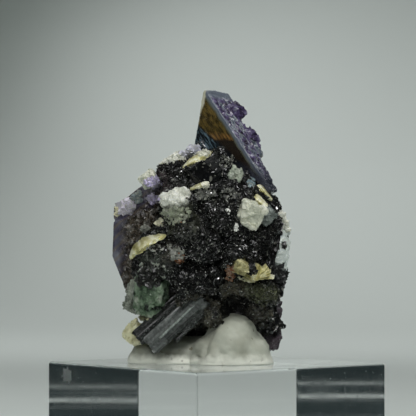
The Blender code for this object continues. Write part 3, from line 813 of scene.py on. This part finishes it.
def putty_finish():
    """Pale putty with specks of dirt, greyer to the left with painted shade where the prism's shadow falls,
    and palest at its foot with painted light from the block.
    """
    made = Finish("putty", IOR=1.5, Specular_IOR_Level=0.35)
    side, _, height = made.place_parts()
    shade = made.ramp(made.noise(3.5, 5), ((0.35, (0.41, 0.42, 0.34)), (0.65, (0.56, 0.58, 0.49))))
    # Painted shade: the colour greys towards the left, where the prism's shadow falls on the putty.
    side = made.sum("ADD", side, made.spread(made.noise(2.0), 0.3, 0.7, -1.5, 1.5))
    shade = made.mix(1.0, shade, made.spread(side, -6.0, 1.5, 0.62, 1.0), "MULTIPLY")
    # Painted light: the putty turns palest at its foot, where light comes up through the block.
    height = made.sum("ADD", height, made.spread(made.noise(1.6), 0.3, 0.7, -0.5, 0.5))
    shade = made.fade(height, 0.6, 2.2, (0.84, 0.85, 0.75), shade)
    specks = made.spread(made.shades(0.7), 0.95, 0.96)
    dirt = made.sum("MULTIPLY", specks, made.spread(made.noise(2.5), 0.5, 0.6))
    made.set("Base Color", made.mix(dirt, shade, (0.18, 0.17, 0.12)))
    made.gloss(1.2, 0.38, 0.6, 4)
    made.bump(made.noise(0.9, 4), 0.06, 0.5)
    return made.material


def acrylic_finish():
    """Clear acrylic with faint smears, scratches and specks, and one smudge."""
    made = Finish("acrylic", IOR=1.49, Transmission_Weight=1.0, Base_Color=(0.998, 1.0, 1.0))
    grain = made.place((1, 1, 0.04), turn=(0.2, 0.1, 0.4))
    scratches = made.cells(4.0, "Distance", grain, "DISTANCE_TO_EDGE")
    smear = made.spread(made.noise(9.0, 4), 0.4, 0.8, 0.025, 0.06)
    scratched = made.spread(scratches, 0.0, 0.012, 0.16, 0.0)
    specks = made.spread(made.cells(0.9, "Distance"), 0.05, 0.09, 0.3, 0.0)
    marked = made.sum("MAXIMUM", made.sum("MAXIMUM", smear, scratched), specks)
    from_smudge = made.place(start=SMUDGE)
    away = made.node("ShaderNodeVectorMath", {0: from_smudge}, operation="LENGTH").outputs["Value"]
    smudge = made.spread(made.plus(away, made.noise(1.0, 4), 2.0), 2.6, 3.6, 0.5, 0.0)
    made.set("Roughness", made.sum("MAXIMUM", marked, smudge))
    made.absorb((0.75, 0.95, 0.93), 1.2)
    return made.material


def matt_finish(name, size, dark, light):
    """The stage's cloth and card: matt, with a faint change of shade."""
    made = Finish(name, Specular_IOR_Level=0.0, Roughness=1.0)
    made.set("Base Color", made.ramp(made.noise(size, 2), ((0.3, dark), (0.7, light))))
    return made.material


# The block

def make_block():
    points, faces = lists_of(box((-0.5, -0.5, -1), (0.5, 0.5, 0)))
    flat_turn = Matrix.Rotation(math.radians(-SPECIMEN_TURN), 4, "Z")
    size = Matrix.Diagonal((BLOCK_SIDE, BLOCK_SIDE, BLOCK_HEIGHT, 1.0))
    points = [flat_turn @ size @ Vector(point) for point in points]
    block = piece("display_block", points, faces, acrylic_finish(), ("acrylic_block",))
    edges = block.modifiers.new("edges", "BEVEL")
    edges.width = BLOCK_EDGE * MM
    edges.segments = 3
    edges.limit_method = "ANGLE"
    edges.angle_limit = math.radians(30)
    block.visible_shadow = False


# The putty

def putty_shapes():
    shapes = []
    for centre, radii in PUTTY_LUMPS:
        bm = bmesh.new()
        bmesh.ops.create_icosphere(bm, subdivisions=4, radius=1.0)
        bm.transform(Matrix.Translation(centre) @ Matrix.Diagonal((*radii, 1.0)))
        shapes.append(bm)
    return shapes


def make_putty():
    points, normals, faces = remeshed(putty_shapes(), PUTTY_VOXEL)
    points = smoothed(points, faces, 10)
    rough = 0.34 * soft_noise(points, 4.0, 3) + 0.15 * soft_noise(points, 1.6, 4)
    rough += 0.05 * soft_noise(points, 0.7, 8)
    ridges = np.sin(5.2 * (points[:, 2] + 0.9 * soft_noise(points, 3.5, 5)))
    rough += 0.05 * ridges * (soft_noise(points, 3.0, 6) > 0)
    near = points[:, 1] < 0
    for (x, z), radius, depth in PUTTY_DENTS:
        away = np.hypot(points[:, 0] - x, points[:, 2] - z)
        rough -= depth * np.exp(-((away / radius) ** 2)) * near
    fold_x, fold_height, fold_lean = PUTTY_FOLD
    fold = points[:, 0] - (fold_x - fold_lean * (fold_height - points[:, 2]))
    rough -= 0.55 * np.exp(-((fold / 0.6) ** 2)) * near
    foot = np.clip(PUTTY_FOOT - points[:, 2], 0, PUTTY_FOOT) * PUTTY_FLARE
    level = normals * (1, 1, 0)
    level /= np.maximum(np.linalg.norm(level, axis=1), 1e-6)[:, None]
    points = points + normals * rough[:, None] + level * foot[:, None]
    points[:, 2] = np.maximum(points[:, 2], 0.02)
    piece("putty_lump", points, faces, putty_finish(), ("putty",), smooth=True)


# The matrix

def rock_colours(points):
    """The rock's colour at each point: black, with the zones and the rust stains."""
    colours = np.tile(BLACK, (len(points), 1)) * (0.25 + 0.75 * calmness(points))[:, None]
    wobble = 0.35 * soft_noise(points, 1.6, 31) + 0.15 * soft_noise(points, 0.5, 32)
    for centre, radii, colour in ZONES:
        share = np.clip(2.2 - 2.0 * (inside(points, centre, radii) + wobble), 0, 1)[:, None]
        colours = colours * (1 - share) + np.array(colour) * share
    for centre, radii in RUST:
        share = np.clip(2.0 - 2.0 * (inside(points, centre, radii) + 2.0 * wobble), 0, 0.9)[:, None]
        colours = colours * (1 - share) + np.array((0.24, 0.085, 0.026)) * share
    return colours


def calmness(points):
    """1 where crystal faces are rough, near 0 where they stay smooth."""
    rough = np.ones(len(points))
    for centre, radii in CALM:
        rough = np.minimum(rough, np.clip(3.0 * (inside(points, centre, radii) - 0.8), 0.06, 1))
    return rough


def make_matrix(chance):
    points, normals, faces = remeshed([cad_shape("matrix")], ROCK_VOXEL)
    push = facets(points, ((3.2, 0.75), (1.3, 0.40))) * calmness(points)
    points = points + normals * push[:, None]
    for centre, radii in BARE:
        points -= normals * np.clip(1.6 - 1.6 * inside(points, centre, radii), 0, 0.9)[:, None]
    arch = np.clip(1.0 - inside(points, ARCH_CENTRE, ARCH_RADII), 0, 1) ** 0.5
    points[:, 1] += arch * ARCH_DEPTH
    colours = np.concatenate([rock_colours(points), np.ones((len(points), 1))], axis=1)
    piece("matrix_rock", points, faces, black_rock(), ("matrix",), tints=colours)

    forms = needle_forms(12, chance)
    material = black_grain()
    for name, low, high, count, small in GRAINS:
        spots, ways = surface_spots(points, faces, GRAIN_SPOTS, chance)
        here = (spots[:, 1] > low) & (spots[:, 1] <= high) & (chance.random(len(spots)) < calmness(spots))
        here &= inside(spots, ARCH_CENTRE, ARCH_RADII) > 0.9
        for centre, radii in BARE:
            here &= inside(spots, centre, radii) > 1
        spots, ways = spots[here][:count], ways[here][:count]
        sizes = small * (3.8 ** (chance.random(len(spots)) ** 3.0))
        stretched = sizes[:, None] * chance.uniform((1.2, 0.5, 0.5), (2.6, 1.2, 0.9), (len(spots), 3))
        tints = rock_colours(spots) * chance.uniform(0.3, 1.6, (len(spots), 1))
        mid = chance.random(len(spots)) < 0.08
        tints[mid] = np.array((0.10, 0.105, 0.09)) * chance.uniform(0.3, 1.8, (mid.sum(), 1))
        # Partly painted glints: a few small grains are tinted pale, standing in for sparkles as well as pale
        # mineral bits.
        pale = (chance.random(len(spots)) < 0.055) & (sizes < 0.32)
        tints[pale] = np.array((0.74, 0.76, 0.69)) * chance.uniform(0.2, 1.3, (pale.sum(), 1))
        cells = np.floor(spots / GROUP_SIZE + 0.5 * soft_noise(spots, 1.5, 77)[:, None])
        groups = (hashed(cells, 91) * GROUPS).astype(int)
        spots = spots - ways * 0.1 * sizes[:, None]
        turns = any_turns(len(spots), chance, groups)
        scattered(name, spots, stretched, turns, forms, tints, material, chance)
    return points, faces


def seen_surface():
    """What the pieces made so far show to a ray, in the specimen's frame."""
    points, faces = [], []
    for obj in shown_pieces():
        if obj.name == "display_block":
            continue
        start = len(points)
        points += [STAND.inverted() @ vert.co / MM for vert in obj.data.vertices]
        faces += [tuple(index + start for index in face.vertices) for face in obj.data.polygons]
    return BVHTree.FromPolygons(points, faces)


def make_patches(chance):
    """Clusters of crystals on the near side, each where a line from the front meets the specimen."""
    surface = seen_surface()
    forms = crystal_forms(10, 4, chance)
    pale, dark = pale_grain(), black_grain()
    for name, (x, z), (half_x, half_z), colour, (small, large), count in PATCHES:
        spots = []
        while len(spots) < count:
            u, v = chance.normal(size=2) * 0.5
            if u * u + v * v > 1:
                continue
            hit = surface.ray_cast(Vector((x + u * half_x, -60.0, z + v * half_z)), Vector((0, 1, 0)))[0]
            spots.append(hit if hit else Vector((x, 0.0, z)))
        sizes = chance.uniform(small, large, count)
        stretched = sizes[:, None] * chance.uniform(0.6, 1.2, (count, 3))
        tints = np.array(colour) * chance.uniform(0.6, 1.25, (count, 1))
        spots = np.array([spot[:] for spot in spots])
        material, slot = (dark, "schorl") if max(colour) < 0.08 else (pale, "feldspar")
        scattered(name, spots, stretched, any_turns(count, chance), forms, tints, material, chance)


def make_fluorite():
    """The large cube: crisp planes on the crown, an etched rind on its outer side, rough to the left."""
    points, normals, faces = remeshed([cad_shape("fluorite_cube")], FLUORITE_VOXEL)
    crown = (points - np.array(CROWN_CORNER)) @ np.array(LATTICE.inverted().to_3x3()).T
    outside = np.clip((crown[:, 0] + 0.5) / 0.5, 0, 1) * np.clip((-1.6 - crown[:, 2]) / 1.5, 0, 1)
    outside *= np.clip((crown[:, 1] - 0.3) / 0.5, 0, 1)
    etched = cell_faces(points, 2.0, 0.55, 61) + cell_faces(points, 0.9, 0.3, 71)
    left = np.clip((-5.0 - points[:, 0]) / 3.0, 0, 1) * np.clip((43.0 - points[:, 2]) / 2.0, 0, 1)
    left *= np.clip((points[:, 0] + 20.6) / 1.5, 0.25, 1) * np.clip((6.0 - points[:, 1]) / 3.0, 0.12, 1)
    broken = cell_faces(points, 2.6, 0.7, 81) + cell_faces(points, 1.1, 0.5, 85)
    broken += cell_faces(points, 0.6, 0.2, 87)
    points = points + normals * (etched * outside + broken * left)[:, None]
    piece("fluorite", points, faces, fluorite_finish(), ("fluorite_cube",))


# Blades, fan and prisms

def along(points, share):
    """A point on the smooth curve through the points."""
    spans = len(points) - 1
    place = min(share * spans, spans - 1e-6)
    first = int(place)
    t = place - first
    p = [Vector(points[min(max(first + k, 0), spans)]) for k in (-1, 0, 1, 2)]
    return 0.5 * (
        2 * p[1]
        + (p[2] - p[0]) * t
        + (2 * p[0] - 5 * p[1] + 4 * p[2] - p[3]) * t * t
        + (3 * p[1] - p[0] - 3 * p[2] + p[3]) * t * t * t
    )


def leaf(run, start, end, breadth, outline, offset, lean, thickness, curl, chance):
    """One thin plate, ragged at its rim, with painted light making it palest at its upper edge and painted
    shade darkening its lower edge: points, faces and tones.
    """
    steps, across = 20, 7
    points, tones = [], []
    ragged = chance.uniform(-1, 1, (steps + 1, 2))
    for side in (0.5, -0.5):
        for i in range(steps + 1):
            share = i / steps
            place = start + (end - start) * share
            middle = along(run, min(max(place, 0), 1))
            way = (along(run, min(place + 0.03, 1)) - along(run, max(place - 0.03, 0))).normalized()
            up = way.cross(Vector((0, -1, 0))).normalized()
            out = up.cross(way).normalized()
            flat = out * math.sin(math.radians(lean)) + up * math.cos(math.radians(lean))
            thin = flat.cross(way).normalized()
            for j in range(across + 1):
                t = 2 * j / across - 1
                rim = 1 + 0.24 * ragged[i, 0 if t < 0 else 1]
                reach = breadth / 2 * outline(share) * rim * t
                points.append(middle + flat * reach + thin * (offset + curl * t * t + side * thickness))
                # Painted light and shade: the tone rises from the lower edge to the upper edge of the leaf.
                tones.append(0.85 + 0.4 * t)
    row, sheet = across + 1, (steps + 1) * (across + 1)
    faces = []
    for i in range(steps):
        for j in range(across):
            a = i * row + j
            faces.append((a, a + 1, a + row + 1, a + row))
            faces.append((a + sheet, a + row + sheet, a + row + 1 + sheet, a + 1 + sheet))
    rim = [i * row for i in range(steps)] + [steps * row + j for j in range(across)]
    rim += [i * row + across for i in range(steps, 0, -1)] + [j for j in range(across, 0, -1)]
    faces += [(a, b, b + sheet, a + sheet) for a, b in zip(rim, rim[1:] + rim[:1])]
    return [point[:] for point in points], faces, tones


def stacked(name, leaves, material, nodes, chance):
    """Plates of mica as one piece, each with its own shade, times the painted light and shade of its leaves'
    tones.
    """
    points, faces, tints = [], [], []
    for leaf_points, leaf_faces, tones in leaves:
        faces += [tuple(index + len(points) for index in face) for face in leaf_faces]
        points += leaf_points
        shade = chance.uniform(0.6, 1.25)
        tints += [(shade * tone, shade * tone, shade * tone, 1.0) for tone in tones]
    return piece(name, points, faces, material, nodes, False, tints)


def tapered(share):
    """How broad a blade is at a share of its length, narrow at both ends."""
    return 0.12 + 0.88 * math.sin(math.pi * share ** 1.25) ** 0.7


def widening(share):
    """How broad a leaf is at a share of its length, broadest near its far end."""
    return (0.25 + 0.75 * share ** 0.7) * (1 - max(share - 0.8, 0) * 2.2)


def make_mica(chance):
    material = mica_finish()
    for name, run, breadth, thickness, lean, node in BLADES:
        leaves = []
        for k in range(BLADE_LEAVES):
            offset = (k / (BLADE_LEAVES - 1) - 0.5) * thickness * 1.1
            start, end = chance.uniform(0.0, 0.16), chance.uniform(0.78, 1.0)
            outline = tapered if name in ("left_blade", "top_blade") else widening
            size = breadth * chance.uniform(0.8, 1.12)
            tilt = lean + chance.uniform(-6, 6)
            leaves.append(leaf(run, start, end, size, outline, offset, tilt, LEAF_THICKNESS, 0.12, chance))
        stacked(name, leaves, material, (node,), chance)
    leaves = []
    for angle in np.linspace(-158, -8, FAN_LEAVES):
        turn = turned((-30 + chance.uniform(-22, 22), angle, -14 + chance.uniform(-12, 12)))
        length = chance.uniform(3.0, 4.1)
        curve = [Vector((length * s, 0, 0.35 * math.sin(3.0 * s))) for s in (0, 0.33, 0.66, 1.0)]
        run = [FAN_ROOT + turn @ point for point in curve]
        breadth, lean = chance.uniform(1.5, 2.2), chance.uniform(20, 70)
        leaves.append(leaf(run, 0.0, 1.0, breadth, widening, 0.0, lean, 0.14, 0.2, chance))
    stacked("fan", leaves, material, ("mica_fan",), chance)


def ring_faces(rings, around):
    """Faces between rings of points, ring after ring."""
    return [
        (row + k, row + around + k, row + around + (k + 1) % around, row + (k + 1) % around)
        for row in range(0, (rings - 1) * around, around) for k in range(around)
    ]


def striated_prism(name, centre, size, turn, material, nodes, chance, tint=(1.0, 1.0, 1.0)):
    """A six-sided prism with grooves along it and broken ends. Its turn is roll, rise and swing."""
    strips, rings = 54, 30
    groove = chance.uniform(0.0, 0.07, strips) * (chance.random(strips) < 0.7)
    shade = chance.uniform(0.5, 1.5, strips)
    length, wide, deep = size
    roll, rise, swing = turn
    place = Matrix.Translation(centre) @ turned((0, rise, swing)) @ turned((roll, 0, 0))
    points, tints = [], []
    for ring in range(rings):
        share = ring / (rings - 1)
        for strip in range(strips):
            angle = 2 * math.pi * strip / strips
            corner = (angle + math.pi / 6) % (math.pi / 3) - math.pi / 6
            radius = 0.5 * math.cos(math.pi / 6) / math.cos(corner)
            radius *= 1 - groove[strip] * (0.6 + 0.4 * math.sin(7 * share + strip))
            end = (chance.uniform(-0.6, 0.2) if ring in (0, rings - 1) else 0.0) * (1 if ring else -1)
            radius *= 0.93 if ring in (0, rings - 1) else 1.0
            far, high = math.cos(angle) * radius * deep, math.sin(angle) * radius * wide
            points.append((place @ Vector(((share - 0.5) * length + end, far, high)))[:])
            tints.append((*(shade[strip] * np.array(tint)), 1.0))
    faces = ring_faces(rings, strips)
    for ring, side in ((0, -1), (rings - 1, 1)):
        points.append((place @ Vector((side * (length / 2 - 0.35), 0, 0)))[:])
        tints.append((1.0, 1.0, 1.0, 1.0))
        for k in range(strips):
            pair = (ring * strips + k, ring * strips + (k + 1) % strips)
            faces.append((len(points) - 1, *(pair if side < 0 else pair[::-1])))
    return piece(name, points, faces, material, nodes, False, tints)


def make_prisms(chance):
    black, grey = prism_finish("black_prism", 0.010), prism_finish("grey_prism", 0.085)
    striated_prism(
        "black_prism_crystal", (-11.3, -7.3, 9.8), (13.5, 4.0, 4.0), (20, -41, 0),
        black, ("black_prism",), chance,
    )
    striated_prism(
        "grey_prism_crystal", (-8.2, -7.9, 8.9), (15.3, 5.2, 4.4), (30, -42, 0),
        grey, ("grey_prism",), chance,
    )
    for number, (x, y, z, length, size, tone) in enumerate(BARS):
        striated_prism(
            f"prism_bar_{number + 1}", (x, y, z), (length, size, size), (10 * number, -44, 3),
            grey, (), chance, (tone, tone * 1.04, tone),
        )


def set_finishes():
    """The finishes of the set crystals, by name: light, dark, grain, roughness, subsurface, transmission."""
    finishes = {}

    def add(name, *look, **more):
        finishes[name] = stone(name, *look, **more)

    add("sugary_feldspar", (0.88, 0.88, 0.80), (0.55, 0.56, 0.48), 0.6, 0.5, 0.3, foot=(32.6, 33.8))
    add("feldspar", (0.84, 0.84, 0.75), (0.50, 0.51, 0.43), 0.8, 0.5, 0.3)
    add("yellow_feldspar", (0.74, 0.69, 0.38), (0.30, 0.27, 0.11), 0.9, 0.35, 0.1, 0.15)
    add("lime_feldspar", (0.86, 0.84, 0.58), (0.58, 0.55, 0.32), 0.9, 0.4, 0.3, relief=0.06)
    add("quartz", (0.86, 0.86, 0.72), (0.58, 0.60, 0.48), 1.3, 0.3, 0.2, 0.1, relief=0.04)
    add("hazy_quartz", (0.56, 0.60, 0.50), (0.24, 0.27, 0.22), 1.1, 0.3, 0.0, 0.45, relief=0.06)
    add("grey_quartz", (0.36, 0.40, 0.37), (0.10, 0.12, 0.11), 1.0, 0.3, 0.0, 0.3)
    add("edge_quartz", (0.90, 0.96, 0.92), (0.70, 0.76, 0.72), 1.6, 0.2, 0.2, 0.2, relief=0.04)
    add("smoky", (0.12, 0.09, 0.11), (0.03, 0.024, 0.03), 1.0, 0.3, 0.0, 0.2)
    return finishes


def make_set_crystals():
    finishes = set_finishes()
    for node, finish, slot, cells, out, roundness in SET_CRYSTALS:
        lump(node, cells, finishes[finish], out, roundness)
    points, normals, faces = remeshed([cad_shape("green_fluorite")], GREEN_VOXEL)
    points = points + normals * facets(points, ((1.6, 0.4), (0.7, 0.2)))[:, None]
    points[:, 0] += np.clip(GREEN_SIDE - points[:, 0], 0, 5) * GREEN_SQUEEZE
    piece("green_crystal", points, faces, green_finish(), ("green_fluorite",))


# The stage: a pale bowl without a horizon, dark cards round the camera's side, lights

def looking(place, target):
    """A pose at a place in the specimen's frame that looks at a target there, both in millimetres."""
    way = Vector(target) - Vector(place)
    turn = way.to_track_quat("-Z", "Y").to_matrix().to_4x4()
    return STAND @ Matrix.Translation(Vector(place) * MM) @ turn


def make_bowl():
    profile = [(0.0, 0.0), (0.3, 0.0), (0.55, 0.0)]
    bend = np.linspace(0, math.pi / 2, 24)
    profile += [(0.75 + 0.9 * math.sin(a), 0.9 - 0.9 * math.cos(a)) for a in bend]
    profile += [(1.65, 1.4), (1.65, 2.0)]
    around = 128
    angles = [2 * math.pi * k / around for k in range(around)]
    points = [
        (radius * math.cos(angle), radius * math.sin(angle), height)
        for radius, height in profile for angle in angles
    ]
    faces = [face[::-1] for face in ring_faces(len(profile), around)]
    mesh = bpy.data.meshes.new("bowl")
    mesh.from_pydata(points, [], faces)
    mesh.polygons.foreach_set("use_smooth", [True] * len(faces))
    mesh.materials.append(matt_finish("stage", 400.0, (0.70, 0.745, 0.72), (0.73, 0.775, 0.75)))
    bowl = bpy.data.objects.new("bowl", mesh)
    bpy.context.scene.collection.objects.link(bowl)


def make_card(name, points, faces):
    """A dark card that only reflections and clear bodies show."""
    mesh = bpy.data.meshes.new(name)
    mesh.from_pydata(points, [], faces)
    mesh.materials.append(matt_finish("card", 60.0, (0.030, 0.042, 0.044), (0.052, 0.070, 0.072)))
    card = bpy.data.objects.new(name, mesh)
    bpy.context.scene.collection.objects.link(card)
    card.matrix_world = STAND
    card.visible_camera = False
    card.visible_shadow = False
    card.visible_diffuse = False


def make_cards():
    """Dark cards bent round the camera's side: one upright, the others on the floor with gaps between."""
    angles = np.radians(np.linspace(-214, 34, 64))
    count = len(angles)
    faces = [(k, k + 1, count + k + 1, count + k) for k in range(count - 1)]
    floor = -BLOCK_HEIGHT * MM + 0.0006
    rims = {"upright_card": ((0.68, -0.025, 0.0), (0.68, 0.42, 0.0))}
    for number, (near, far) in enumerate(FLOOR_RINGS):
        rims[f"floor_card_{number + 1}"] = ((near, floor, 0.013), (far, floor, 0.013))
    for name, rim in rims.items():
        points = []
        for radius, height, shift in rim:
            reach = radius - shift * np.cos(angles)
            spots = (reach * np.cos(angles), reach * np.sin(angles), np.full(count, height))
            points += np.column_stack(spots).tolist()
        make_card(name, points, faces)


def add_light(name, data, place, target):
    light = bpy.data.objects.new(name, data)
    bpy.context.scene.collection.objects.link(light)
    light.matrix_world = looking(place, target)


def make_lights():
    for name, place, target, size, power, degrees in SOFT_LIGHTS:
        data = bpy.data.lights.new(name, "AREA")
        data.size = size
        data.energy = power
        data.spread = math.radians(degrees)
        add_light(name, data, place, target)
    for name, place, target, degrees, power in BACKDROP_SPOTS:
        data = bpy.data.lights.new(name, "SPOT")
        data.energy = power
        data.spot_size = math.radians(degrees)
        data.spot_blend = 1.0
        data.shadow_soft_size = 0.05
        add_light(name, data, place, target)
    world = bpy.data.worlds.new("studio")
    world.use_nodes = True
    background = world.node_tree.nodes["Background"]
    background.inputs["Color"].default_value = (0.93, 1.0, 0.97, 1.0)
    background.inputs["Strength"].default_value = 0.085
    bpy.context.scene.world = world


def make_camera():
    data = bpy.data.cameras.new("camera")
    data.sensor_width = 36.0
    data.lens = LENS
    data.clip_start = 0.01
    camera = bpy.data.objects.new("camera", data)
    bpy.context.scene.collection.objects.link(camera)
    camera.matrix_world = looking(CAMERA_PLACE, CAMERA_TARGET)
    bpy.context.scene.camera = camera


make_camera()
make_block()
make_putty()
make_matrix(np.random.default_rng(SEED))
make_fluorite()
make_set_crystals()
make_mica(np.random.default_rng(SEED + 3))
make_prisms(np.random.default_rng(SEED + 4))
make_patches(np.random.default_rng(SEED + 2))
make_bowl()
make_cards()
make_lights()
bpy.context.scene.view_settings.view_transform = "Standard"
bpy.context.scene.view_settings.look = "None"
